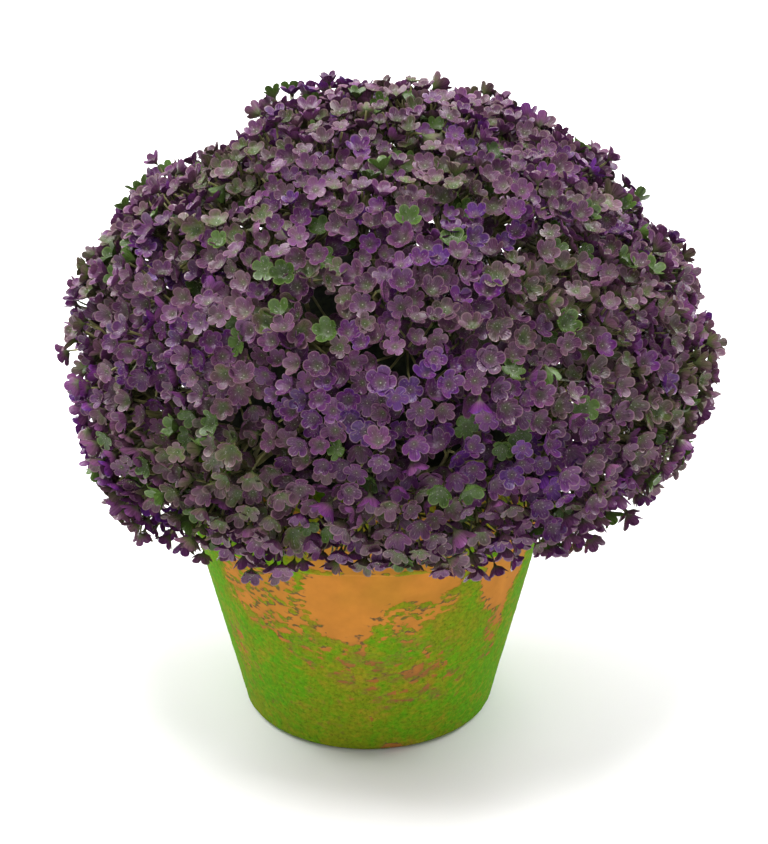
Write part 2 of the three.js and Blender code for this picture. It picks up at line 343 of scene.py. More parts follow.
class Net:
    """Builds one node tree, of a material or of geometry."""

    def __init__(self, tree):
        self.tree = tree

    def add(self, kind, inputs=None, output=0, **settings):
        """Adds a node: its settings first, then the values or links of its sockets. Returns one output."""
        node = self.tree.nodes.new(kind)
        node.location.x = 170 * len(self.tree.nodes)
        for name, value in settings.items():
            if name == "stops":
                self._set_stops(node.color_ramp, value)
            else:
                setattr(node, name, value)
        for place, value in (inputs or {}).items():
            socket = node.inputs[place]
            if isinstance(value, Field):
                self.tree.links.new(value.socket, socket)
            elif socket.type == "RGBA" and len(value) == 3:
                socket.default_value = (*value, 1)
            else:
                socket.default_value = value
        return Field(self, node.outputs[output]) if len(node.outputs) else None

    @staticmethod
    def _set_stops(ramp, stops):
        for index, (position, tone) in enumerate(stops):
            stop = ramp.elements[index] if index < 2 else ramp.elements.new(position)
            stop.position = position
            stop.color = (*tone, 1)

    def math(self, operation, *values):
        """A Math node that has no operator."""
        return self.add("ShaderNodeMath", dict(enumerate(values)), operation=operation)

    def step(self, value, low, high):
        """0 below low, 1 above high and smooth between; high may be the lower one."""
        sockets = {"Value": value, "From Min": low, "From Max": high}
        return self.add("ShaderNodeMapRange", sockets, interpolation_type="SMOOTHSTEP")

    def mix(self, factor, first, second):
        """A colour between two others."""
        return self.add("ShaderNodeMix", {0: factor, 6: first, 7: second}, 2, data_type="RGBA")

    def scale(self, vector, factor):
        """A vector made longer or shorter, or a colour made lighter or darker."""
        return self.add("ShaderNodeVectorMath", {0: vector, "Scale": factor}, operation="SCALE")

    def moved(self, vector, shift):
        """A vector with another added."""
        return self.add("ShaderNodeVectorMath", {0: vector, 1: shift}, operation="ADD")

    def place(self):
        """A point's place on its object, in a material."""
        return self.add("ShaderNodeTexCoord").out("Object")

    def parts(self, vector):
        """The three numbers of a vector."""
        x = self.add("ShaderNodeSeparateXYZ", {0: vector})
        return x, x.out(1), x.out(2)

    def joined(self, x, y, z):
        """A vector of three numbers."""
        return self.add("ShaderNodeCombineXYZ", {0: x, 1: y, 2: z})

    def named(self, name, kind):
        """A value that the points carry."""
        return self.add("GeometryNodeInputNamedAttribute", {"Name": name}, data_type=kind)

    def noise(self, vector, scale, detail=2.0, roughness=0.5):
        """Smooth noise about 0.5."""
        sockets = {"Vector": vector, "Scale": scale, "Detail": detail, "Roughness": roughness}
        return self.add("ShaderNodeTexNoise", sockets)

    def bump(self, height, distance, strength):
        """Normals of a surface with fine relief."""
        return self.add("ShaderNodeBump", {"Strength": strength, "Distance": distance, "Height": height})

    def finish(self, **sockets):
        """Ends a material in one Principled shader."""
        sockets = {name.replace("_", " "): value for name, value in sockets.items()}
        self.add("ShaderNodeOutputMaterial", {"Surface": self.add("ShaderNodeBsdfPrincipled", sockets)})


def new_net(holder):
    """The net that builds the empty node tree of a material or of the world."""
    holder.use_nodes = True
    holder.node_tree.nodes.clear()
    return Net(holder.node_tree)


def new_geometry_tree(name, inputs):
    """The net of a geometry tree, and its inputs: the geometry, those named and the material."""
    tree = bpy.data.node_groups.new(name, "GeometryNodeTree")
    kinds = {"Geometry": "Geometry", **inputs, "Material": "Material"}
    for socket, kind in kinds.items():
        tree.interface.new_socket(socket, in_out="INPUT", socket_type="NodeSocket" + kind)
    tree.interface.new_socket("Geometry", in_out="OUTPUT", socket_type="NodeSocketGeometry")
    net = Net(tree)
    start = net.add("NodeGroupInput")
    return net, {socket: start.out(socket) for socket in kinds}


def close_tree(net, geometry, given):
    """Ends a geometry tree: real faces in one material."""
    real = net.add("GeometryNodeRealizeInstances", {"Geometry": geometry})
    coated = net.add("GeometryNodeSetMaterial", {"Geometry": real, "Material": given["Material"]})
    net.add("NodeGroupOutput", {"Geometry": coated})
    return net.tree


def close_raised(net, given, height):
    """Ends a geometry tree that moves its surface along the normals."""
    offset = net.scale(net.add("GeometryNodeInputNormal"), height)
    moved = net.add("GeometryNodeSetPosition", {"Geometry": given["Geometry"], "Offset": offset})
    return close_tree(net, moved, given)


def linked(name, data):
    """A new object at the origin, in the scene."""
    made = bpy.data.objects.new(name, data)
    bpy.context.scene.collection.objects.link(made)
    return made


def new_object(name, points, edges=(), faces=()):
    """A smooth mesh object at the origin."""
    mesh = bpy.data.meshes.new(name)
    mesh.from_pydata([tuple(point) for point in points], list(edges), list(faces), shade_flat=False)
    return linked(name, mesh)


def store(thing, name, kind, values):
    """Keeps one value for each point of a mesh object, as a FLOAT, an INT or a FLOAT_VECTOR."""
    attribute = thing.data.attributes.new(name, kind, "POINT")
    field = "vector" if kind == "FLOAT_VECTOR" else "value"
    attribute.data.foreach_set(field, np.asarray(values).ravel())


def grown(source, tree, values, name):
    """The plain mesh object that a geometry tree makes of a source object, which is used up."""
    modifier = source.modifiers.new(tree.name, "NODES")
    modifier.node_group = tree
    for item in tree.interface.items_tree:
        if item.item_type == "SOCKET" and item.in_out == "INPUT" and item.name in values:
            modifier[item.identifier] = values[item.name]
    return applied(source, name)


def applied(source, name):
    """The plain mesh object that an object's modifiers make of it; the object is used up."""
    source.update_tag()
    bpy.context.view_layer.update()
    depsgraph = bpy.context.evaluated_depsgraph_get()
    mesh = bpy.data.meshes.new_from_object(
        source.evaluated_get(depsgraph), preserve_all_data_layers=True, depsgraph=depsgraph
    )
    bpy.data.objects.remove(source)
    mesh.name = name
    return linked(name, mesh)


def settle(piece, slot, *nodes):
    """Rides a finished piece on the body in place of its CAD nodes; its slot is not used."""
    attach(piece, BODY)
    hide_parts(*nodes)


def turned(profile, sides):
    """A solid turned about Z from (radius, height) pairs that start and end on the axis, for new_object."""
    angles = [2 * math.pi * side / sides for side in range(sides)]
    points = [(0, 0, profile[0][1])]
    for radius, height in profile[1:-1]:
        points += [(radius * math.cos(angle), radius * math.sin(angle), height) for angle in angles]
    last = len(points)
    points.append((0, 0, profile[-1][1]))
    faces = []
    for side in range(sides):
        after = (side + 1) % sides
        faces.append((0, 1 + after, 1 + side))
        for low in range(1, last - sides, sides):
            high = low + sides
            faces.append((low + side, low + after, high + after, high + side))
        faces.append((last - sides + side, last - sides + after, last))
    return points, (), faces


def arc(across, up, radius, start, end, steps):
    """Points of a rounding about (across, up), between two angles in degrees."""
    angles = np.radians(np.linspace(start, end, steps + 1))
    return [(across + radius * math.cos(angle), up + radius * math.sin(angle)) for angle in angles]


def run(start, end, step):
    """Points between two, about a step apart, without the ends."""
    count = max(1, round(math.dist(start, end) / step))
    return [
        (start[0] + (end[0] - start[0]) * place / count, start[1] + (end[1] - start[1]) * place / count)
        for place in range(1, count)
    ]


def outer_wall(height):
    """The pot's outer radius at a height under its collar."""
    return POT_BASE_RADIUS + POT_WALL_SLOPE * height


# Bare patches of clay: azimuth from the front in degrees, height in millimetres, half width in
# degrees, half height in millimetres, and how bare
BARE_PATCHES = (
    (-7, 86, 12, 23, 1.0), (14, 95, 19, 12, 1.0), (16, 80, 16, 14, 0.46), (50, 86, 12, 20, 1.0),
    (52, 54, 6, 18, 0.4), (-35, 80, 20, 21, 0.53), (0, 54, 32, 18, 0.3), (24, 36, 15, 13, 0.27),
    (2, 28, 15, 9, 0.2), (-58, 42, 6, 16, 0.36), (14, 3, 10, 4, 0.4), (118, 90, 18, 24, 0.9),
    (-120, 88, 24, 20, 0.7), (156, 84, 16, 18, 0.48), (140, 46, 28, 22, 0.26), (-145, 52, 26, 22, 0.27),
    (92, 60, 18, 24, 0.3), (-92, 44, 18, 22, 0.27), (0, 118, 200, 14, 0.42),
)

# Moss: its slant round the pot, how flat its strokes are, how much cover makes its edge, and its finish, down
# to the shift that lays the chips' painted shadow
MOSS_SLANT = 0.4
STROKE_FLATNESS = 1.65
MOSS_EDGE = 0.5
COLLAR_SHADOW_HEIGHT = 0.0008
CLEAN_FOOT_HEIGHT = 0.003
CLAY_WAVES = 0.0006
GRAIN_DEPTH = 0.0006
CHIP_SHADOW_OFFSET = (0.0006, -0.0003, -0.0020)


def brushed(net, place):
    """A point on the pot, stretched so that noise on it runs round the pot in short strokes."""
    x, y, z = net.parts(place)
    azimuth = net.math("ARCTAN2", x, 0 - y)
    lifted = z - (1 - net.math("COSINE", azimuth)) * (MOSS_SLANT * POT_BASE_RADIUS)
    return net.joined(x, y, lifted * STROKE_FLATNESS), azimuth, z


def moss_cover(net, stroke, azimuth, z):
    """How surely moss grows at a point on the pot: bare clay below MOSS_EDGE."""
    cover = 0.95 + (net.noise(stroke, 110, 2) - 0.5) * 0.4 + (net.noise(stroke, 230, 2) - 0.5) * 1.5
    for turn, height, half_width, half_height, strength in BARE_PATCHES:
        across = (azimuth - math.radians(turn)) / math.radians(half_width)
        up = (z - height / 1000) / (half_height / 1000)
        cover = cover - net.step(across * across + up * up, 1.5, 0.3) * strength
    edge = net.math("ABSOLUTE", z - (COLLAR_LOW + COLLAR_SHADOW_HEIGHT))
    return cover + net.step(edge, 0.0022, 0.0008) * 0.6


def make_pot_material(pot):
    """Mottled moss over matt terracotta: thin in places, chipped, with dark edges at the chips that are
    painted shadow on one side of them among dark scratches.
    """
    material = bpy.data.materials.new("mossy terracotta")
    net = new_net(material)
    place = net.place()
    stroke, azimuth, z = brushed(net, place)
    cover = moss_cover(net, stroke, azimuth, z)
    mossy = net.step(cover, 0.47, 0.53)
    high = net.step(z, 0.045, 0.075)
    film = net.step(net.noise(place, 34, 3) + z * 7, 0.98, 1.26)
    clay = net.mix(film * 0.4, pot.clay, pot.clay_dull)
    clay = net.mix((1 - high) * 0.7, clay, pot.clay_worn)
    clay = net.scale(clay, net.noise(place, 120, 3) * 0.5 + 0.76)

    grain = net.noise(place, 620, 4, 0.7)
    mottle = net.noise(place, 210, 3, 0.65)
    fresh = net.noise(place, 26, 3) + net.math("ABSOLUTE", azimuth - 0.1) * 0.18
    fresh = net.step(fresh + (mottle - 0.5), 0.40, 0.82)
    moss = net.mix(fresh, pot.moss, pot.moss_fresh)
    thin = net.step(cover + (net.noise(place, 70, 2) - 0.5) * 0.9, 0.92, 0.5)
    moss = net.mix(thin * 0.42, moss, pot.clay_dull)
    moss = net.mix(net.step(net.noise(stroke, 300, 4, 0.7), 0.48, 0.7) * 0.4, moss, shade("94801A"))
    moss = net.mix(net.step(net.noise(place, 640, 3, 0.7), 0.52, 0.68) * 0.5, moss, shade("3E560C"))
    moss = net.scale(moss, grain * 1.5 + 0.47)
    tone = net.mix(mossy, clay, moss)

    # Dark rims on one side of the chips, where the cover just below is lower, are painted shadow of the
    # moss's edge, broken up by dark scratch marks
    shifted = moss_cover(net, net.moved(stroke, CHIP_SHADOW_OFFSET), azimuth, z)
    from_edge = net.math("ABSOLUTE", cover - MOSS_EDGE)
    rim = net.step(cover - shifted, 0.02, 0.11) * net.step(from_edge, 0.15, 0.05)
    marks = net.step(net.noise(stroke, 90, 2), 0.38, 0.52)
    tone = net.mix(rim * marks * 0.8, tone, pot.scratch_and_shadow)
    smudge = net.step(from_edge, 0.36, 0.06) * net.step(net.noise(stroke, 80, 2), 0.46, 0.6)
    tone = net.mix(smudge * (0.36 - high * 0.26), tone, pot.scratch_and_shadow)
    bump = net.bump(grain * (mossy * 0.8 + 0.12) + mottle * mossy * 0.8, GRAIN_DEPTH, 0.6)
    net.finish(Base_Color=tone, Roughness=mossy * 0.1 + 0.84, Normal=bump, Specular_IOR_Level=0.12)
    return material


def make_relief_tree():
    """Raises the moss from the outer wall of the pot."""
    net, given = new_geometry_tree("moss relief", {"Moss Thickness": "Float"})
    place = net.add("GeometryNodeInputPosition")
    x, y, z = net.parts(place)
    radius = net.math("SQRT", x * x + y * y)
    stroke, azimuth, _ = brushed(net, place)
    outside = net.step(radius - z * POT_WALL_SLOPE, POT_BASE_RADIUS - 0.003, POT_BASE_RADIUS - 0.001)
    raised = net.step(moss_cover(net, stroke, azimuth, z), 0.42, 0.62)
    raised = raised * (net.noise(place, 500, 3) * 1.2 + 0.2)
    waves = (net.noise(place, 60, 2) - 0.5) * CLAY_WAVES
    foot = net.step(z, 0.0, CLEAN_FOOT_HEIGHT)
    return close_raised(net, given, outside * foot * (raised * given["Moss Thickness"] + waves))


class VERBENA_OT_pot(Operator):
    """Turn the clay pot, drill its drain holes and let moss grow on it"""

    bl_idname = "verbena.pot"
    bl_label = "Clay pot"

    def execute(self, context):
        pot = context.scene.verbena_pot

        def inner_wall(height):
            return outer_wall(height) - pot.wall

        foot = POT_FOOT_ROUNDING
        lip = POT_HEIGHT - LIP_ROUNDING
        foot_arc = arc(POT_BASE_RADIUS - foot + POT_WALL_SLOPE * foot, foot, foot, -90, 0, 5)
        under_collar = (outer_wall(COLLAR_LOW), COLLAR_LOW)
        edge = COLLAR_EDGE_ROUNDING
        collar_arc = arc(COLLAR_LOW_RADIUS - edge, COLLAR_LOW + edge, edge, -90, 0, 4)
        lip_arc = arc(COLLAR_TOP_RADIUS - LIP_ROUNDING, lip, LIP_ROUNDING, 0, 90, 5)
        inner_lip = [(inner_wall(lip) + LIP_ROUNDING / 2, POT_HEIGHT), (inner_wall(lip), lip)]
        inner_floor = (inner_wall(POT_FLOOR), POT_FLOOR)
        profile = [(0, 0), (DRAIN_ZONE, 0)]
        profile += foot_arc + run(foot_arc[-1], under_collar, OUTER_STEP) + [under_collar]
        profile += collar_arc + run(collar_arc[-1], lip_arc[0], OUTER_STEP) + lip_arc + inner_lip
        profile += run(inner_lip[-1], inner_floor, INNER_STEP)
        profile += [inner_floor, (DRAIN_ZONE, POT_FLOOR), (0, POT_FLOOR)]
        body = new_object("pot_body", *turned(profile, POT_SIDES))
        corners = [(0, DRILL_BOTTOM), (DRAIN_RADIUS, DRILL_BOTTOM), (DRAIN_RADIUS, DRILL_TOP), (0, DRILL_TOP)]
        points, _, faces = turned(corners, DRILL_SIDES)
        drills = []
        for hole in range(DRAIN_COUNT):
            angle = 2 * math.pi * hole / DRAIN_COUNT + math.pi / 2
            shift = (DRAIN_CIRCLE_RADIUS * math.cos(angle), DRAIN_CIRCLE_RADIUS * math.sin(angle), 0)
            drills.append(new_object("drill", [np.add(point, shift) for point in points], (), faces))
            cut = body.modifiers.new("drain hole", "BOOLEAN")
            cut.object = drills[-1]
            cut.solver = "EXACT"
        drilled = applied(body, "drilled")
        for drill in drills:
            bpy.data.objects.remove(drill)
        values = {"Moss Thickness": pot.moss_thickness, "Material": make_pot_material(pot)}
        piece = grown(drilled, make_relief_tree(), values, "mossy_pot")
        settle(piece, "terracotta", "pot")
        return {"FINISHED"}


def make_foam_material(foam):
    """Torn dark foam, with painted shade in the hollows of its grain."""
    material = bpy.data.materials.new("dark foam")
    net = new_net(material)
    place = net.place()
    grain = net.noise(place, 260, 4, 0.7)
    # Dark foam in the hollows of the bumped grain and light foam on its ridges: painted shade and painted
    # light
    tone = net.mix(net.step(grain, 0.4, 0.65), foam.dark, foam.light)
    net.finish(Base_Color=tone, Roughness=grain * 0.2 + 0.8, Normal=net.bump(grain, 0.001, 0.8))
    return material


def make_torn_tree():
    """Roughens the foam's dome."""
    net, given = new_geometry_tree("torn foam", {"Roughness": "Float"})
    place = net.add("GeometryNodeInputPosition")
    height = net.step(net.parts(place)[2], FOAM_SHOULDER_HEIGHT, FOAM_DOME_FOOT_HEIGHT) * given["Roughness"]
    return close_raised(net, given, height * (net.noise(place, 120, 4, 0.7) - 0.7))


class VERBENA_OT_foam(Operator):
    """Fill the pot with its foam core, which rises over the rim as a dome"""

    bl_idname = "verbena.foam"
    bl_label = "Foam core"

    def execute(self, context):
        foam = context.scene.verbena_foam
        wall = context.scene.verbena_pot.wall + FOAM_GAP
        low = (outer_wall(POT_FLOOR) - wall, POT_FLOOR + FOAM_GAP)
        shoulder = (outer_wall(FOAM_SHOULDER_HEIGHT) - wall, FOAM_SHOULDER_HEIGHT)
        dome = [
            (FOAM_DOME_RADIUS * across, FOAM_DOME_FOOT_HEIGHT + FOAM_DOME_RISE * up)
            for across, up in arc(0, 0, 1, 0, 90, FOAM_DOME_STEPS)
        ]
        profile = [(0, low[1]), low] + run(low, shoulder, FOAM_WALL_STEP) + [shoulder]
        profile += dome[:-1] + [(0, dome[-1][1])]
        source = new_object("foam_body", *turned(profile, FOAM_SIDES))
        values = {"Roughness": foam.roughness, "Material": make_foam_material(foam)}
        settle(grown(source, make_torn_tree(), values, "foam_dome"), "foam", "foam_core")
        return {"FINISHED"}


def ways(azimuth, elevation):
    """Unit vectors of azimuths and elevations in radians."""
    level = np.cos(elevation)
    return np.stack((level * np.cos(azimuth), level * np.sin(azimuth), np.sin(elevation)), -1)


def ways_of(turn, rise):
    """Unit vectors of azimuths and elevations in degrees."""
    return ways(np.radians(turn), np.radians(rise))


def unit(vectors):
    """Vectors made one long."""
    return vectors / np.linalg.norm(vectors, axis=-1, keepdims=True)


def outline(way):
    """The head's outer radius in each direction, before a spray's own reach."""
    up = way[..., 2]
    level = np.sqrt(1 - np.clip(up, -1, 1) ** 2)
    rise = np.where(up > 0, HEAD_RISE, HEAD_DROP)
    total = (level / HEAD_RADIUS) ** HEAD_FULLNESS + (np.abs(up) / rise) ** HEAD_FULLNESS
    return total ** (-1 / HEAD_FULLNESS)


def patches(way, marks, spread):
    """The sum of soft patches, given as (azimuth, elevation, amount) with angles in degrees."""
    total = np.zeros(way.shape[:-1])
    for turn, rise, amount in marks:
        angle = np.arccos(np.clip(way @ ways_of(turn, rise), -1, 1))
        total = total + amount * np.exp(-((angle / spread) ** 2))
    return total


def lay_out_sprays():
    """Every spray's sector of the head, its reach, and the root and fork of its stem."""
    total = sum(len(reaches) for _, _, reaches in SPRAY_ROWS)
    share = (1 - math.sin(HEAD_LOWEST)) / total
    sprays = []
    high = math.pi / 2
    for turn, fork, reaches in SPRAY_ROWS:
        low = math.asin(max(-1, math.sin(high) - share * len(reaches)))
        middle = math.asin((math.sin(low) + math.sin(high)) / 2)
        for place, reach in enumerate(reaches):
            azimuth = math.radians(turn) + 2 * math.pi * place / len(reaches)
            way = ways(azimuth, max(middle, STEM_LOWEST)) if len(reaches) > 1 else np.array((0.0, 0.0, 1.0))
            sprays.append({
                "azimuth": azimuth, "half": math.pi / len(reaches), "low": low, "high": high, "reach": reach,
                "way": way, "root": HEAD_CENTRE + way * STEM_ROOT, "fork": HEAD_CENTRE + way * fork,
            })
        high = low
    return sprays


def push_apart(points, spacing, rounds, hold):
    """Pushes apart points that are nearer than the spacing; hold puts them back after every round."""
    for _ in range(rounds):
        tree = KDTree(len(points))
        for index, point in enumerate(points):
            tree.insert(point, index)
        tree.balance()
        pairs = np.array([
            (here, there)
            for here, point in enumerate(points)
            for _, there, _ in tree.find_range(point, spacing)
            if there > here
        ]).reshape(-1, 2)
        apart = points[pairs[:, 0]] - points[pairs[:, 1]]
        gap = np.linalg.norm(apart, axis=1, keepdims=True) + 1e-9
        push = apart / gap * (spacing - gap) * PUSH_SHARE
        moved = points.copy()
        np.add.at(moved, pairs[:, 0], push)
        np.add.at(moved, pairs[:, 1], -push)
        points = hold(moved)
    return points


def lay_out_umbels(sprays, draw):
    """The umbels' directions, the spray of each, and how near each is to its spray's rim."""
    found, owner, edge = [], [], []
    for index, spray in enumerate(sprays):
        if index == 0:
            ring = CAP_UMBELS - 1
            rise = math.pi / 2 - CAP_RING * (math.pi / 2 - spray["low"])
            angles = [(0, math.pi / 2)] + [(2 * math.pi * place / ring, rise) for place in range(ring)]
            edge += [0] + [CAP_RING] * ring
        else:
            middle = (spray["low"] + spray["high"]) / 2
            tall = (spray["high"] - spray["low"]) / 2
            angles = []
            for row, up in enumerate(UMBEL_GRID):
                for across in UMBEL_GRID:
                    turn = spray["half"] * (across + UMBEL_STAGGER * (-1) ** row)
                    angles.append((spray["azimuth"] + turn, middle + tall * up))
                    edge.append(math.hypot(across, up))
        for azimuth, elevation in angles:
            azimuth += draw.normal(0, UMBEL_JITTER)
            found.append(ways(azimuth, elevation + draw.normal(0, UMBEL_JITTER)))
            owner.append(index)

    def hold(points):
        points = unit(points)
        points[:, 2] = np.maximum(points[:, 2], math.sin(LOWEST_UMBEL))
        points = unit(points)
        return points * outline(points)[:, None]

    spread = push_apart(hold(np.array(found)), UMBEL_SPACING, UMBEL_ROUNDS, hold)
    return unit(spread), np.array(owner), np.array(edge)


def across_axes(axis):
    """Two directions square to each axis and to each other."""
    side = unit(np.cross(axis, np.where(np.abs(axis[:, 2:]) < 0.9, (0.0, 0.0, 1.0), (1.0, 0.0, 0.0))))
    return side, np.cross(axis, side)


def lay_out_head(florets):
    """Places every spray, umbel and floret of the head, always the same for the same settings."""
    draw = np.random.default_rng(florets.seed)
    sprays = lay_out_sprays()
    axis, owner, edge = lay_out_umbels(sprays, draw)
    reach = np.array([spray["reach"] for spray in sprays])[owner]
    count = len(axis)
    top = outline(axis) * reach - SPRAY_CROWN * edge ** 2 + draw.normal(0, UMBEL_HEIGHT_JITTER, count)
    lift = patches(axis, LUMPS, LUMP_SPREAD) / 1000
    top = top + lift
    stalk = florets.stalk * draw.uniform(*STALK_RANGE, count)
    side, up = across_axes(axis)
    bend = np.random.default_rng(florets.seed + 5).normal(0, UMBEL_TILT, (2, count, 1))
    aim = unit(axis + bend[0] * side + bend[1] * up)
    node = HEAD_CENTRE + axis * (top - florets.depth)[:, None] - aim * stalk[:, None]
    side, up = across_axes(aim)

    umbel = np.repeat(np.arange(count), florets.per_umbel)
    place = np.tile(np.arange(florets.per_umbel), count)
    total = len(place)
    opened = florets.fan * np.sqrt((place + FIRST_PLACE) / florets.per_umbel)
    start = np.repeat(draw.uniform(0, 2 * math.pi, count), florets.per_umbel)
    turn = GOLDEN_TURN * place + start + draw.normal(0, FAN_JITTER, total)
    spoke = (
        np.cos(opened)[:, None] * aim[umbel]
        + (np.sin(opened) * np.cos(turn))[:, None] * side[umbel]
        + (np.sin(opened) * np.sin(turn))[:, None] * up[umbel]
    )
    gain = 1 + OUTER_STALK_GAIN * (opened / florets.fan) ** 2
    own = stalk[umbel] * (gain + draw.normal(0, STALK_JITTER, total))
    own = own - (draw.random(total) < florets.deeper) * draw.uniform(*DEEPER_BY, total)

    def hold(points):
        return drawn_up(parted(node[umbel] + unit(points - node[umbel]) * own[:, None]))

    centre = push_apart(node[umbel] + spoke * own[:, None], florets.spacing, FLORET_ROUNDS, hold)
    outward = unit(centre - HEAD_CENTRE)
    centre = centre + outward * (patches(outward, LUMPS, LUMP_SPREAD) / 1000 - lift[umbel])[:, None]
    centre = clear_of_collar(centre, florets.width)
    spoke = unit(centre - node[umbel])
    outward = unit(centre - HEAD_CENTRE)
    turned_away = draw.random(total) < TURNED_AWAY_SHARE
    tilt = np.where(turned_away, TURNED_AWAY_TILT, FLORET_TILT)
    facing = SPOKE_SHARE * spoke + (1 - SPOKE_SHARE) * outward
    facing = facing + draw.normal(0, 1, centre.shape) * tilt[:, None]
    facing[:, 2] += np.clip(DROOP_SLOPE * outward[:, 2] - DROOP_START, *DROOP_RANGE)

    lean = MEAN_LEAN + draw.normal(0, UMBEL_LEAN_JITTER, count)[umbel]
    lean = lean + draw.normal(0, FLORET_LEAN_JITTER, total)
    lean = lean + patches(outward, TINT_PATCHES, TINT_PATCH_SPREAD)
    tint = np.clip(np.floor(lean * (TINTS - 1)), 0, TINTS - 2)
    green = draw.random(total) < GREEN_SHARE + GREEN_GAIN * np.clip(lean - 0.5, 0, 1)
    variant = draw.integers(0, VARIANTS, total)
    form = draw.integers(0, len(FLORET_FORMS), total)
    size = draw.normal(MEAN_SIZE, SIZE_JITTER, total) - TOP_SIZE_LOSS * (outward[:, 2] > TOP_START)
    return filled({
        "sprays": sprays, "aim": aim, "owner": owner, "node": node, "umbel": umbel, "centre": centre,
        "spoke": spoke, "facing": unit(facing), "tint": np.where(green, TINTS - 1, tint),
        "variant": variant, "form": form, "size": size, "spray": owner[umbel],
    })


def parted(points):
    """Moves points out of the gaps between the umbels."""
    points = points.copy()
    for turn, rise, radius in GAPS:
        middle = ways_of(turn, rise)
        from_centre = points - HEAD_CENTRE
        along = from_centre @ middle
        across = from_centre - along[:, None] * middle
        distance = np.linalg.norm(across, axis=1)
        near = (along > 0) & (distance < radius / 1000)
        points[near] += across[near] * (radius / 1000 / distance[near] - 1)[:, None]
    return points


def drawn_up(points):
    """Lifts the points that would hang too low in front of the pot."""
    turn = np.arctan2(points[:, 0], -points[:, 1])
    least = FRINGE_HEIGHT + FRINGE_RISE * np.exp(-(((turn - FRINGE_MIDDLE) / FRINGE_SPREAD) ** 2))
    low = (np.abs(turn) < FRINGE_END) & (points[:, 2] < least)
    points = points.copy()
    points[low, 2] = least[low] - (least[low] - points[low, 2]) * FRINGE_HANG
    return points


# Holes left in the head's shell: azimuth and elevation in degrees, and millimetres from the head's middle
HOLES = ((-60.8, -0.6, 133), (-99.3, 47, 120), (-47.9, 11.4, 131), (-34.5, -5, 132))


def filled(head):
    """Puts one more floret into each hole, like its nearest one and on the same umbel."""
    turn, rise, out = np.array(HOLES).T
    way = ways_of(turn, rise)
    spots = HEAD_CENTRE + way * (out / 1000)[:, None]
    nearest = [np.argmin(np.linalg.norm(head["centre"] - spot, axis=1)) for spot in spots]
    for name in ("umbel", "centre", "facing", "tint", "variant", "form", "size", "spray"):
        head[name] = np.concatenate((head[name], head[name][nearest]))
    head["centre"][-len(spots):] = spots
    head["facing"][-len(spots):] = way
    head["spoke"] = unit(head["centre"] - head["node"][head["umbel"]])
    return head


def clear_of_collar(points, width):
    """Moves points off the pot's collar, out far enough for a floret."""
    clear = COLLAR_TOP_RADIUS + COLLAR_CLEARANCE + width * 0.35
    radius = np.linalg.norm(points[:, :2], axis=1)
    near = (points[:, 2] < POT_HEIGHT + width * 0.4) & (radius < clear)
    points = points.copy()
    points[near, :2] *= (clear / radius[near])[:, None]
    return points


# Floret forms: how deep the cup is, how far its tips fall back, how uneven its lobes are, and how far
# the notches between the lobes reach in
FLORET_FORMS = (
    (0.58, 0.03, 0.05, 0.70), (0.82, 0.0, 0.06, 0.74), (0.48, 0.05, 0.08, 0.60), (0.66, -0.05, 0.11, 0.66),
    (0.98, 0.03, 0.08, 0.74),
)
LOBES = 5
LOBE_ARC = ((-29, 0.87), (-15, 0.985), (0, 1.01), (15, 0.985), (29, 0.87))
CUP_CURVE = 1.7

# Parts of a floret: radius, height, and how far out they lie in the cell of their colours; how far the
# dish and the back sag, and the share of a lobe's lift that they take
BEAD = (0, 0.15, 0)
THROAT = (0.12, 0.03, 0.14)
CALYX = (0.19, -0.10, 0.3)
CALYX_TIP = (0, -0.55, 0)
DISH_RADIUS = 0.62
DISH_SAG = 0.07
BACK_RADIUS = 0.58
BACK_SAG = 0.20
LIFT_SHARE = 0.4


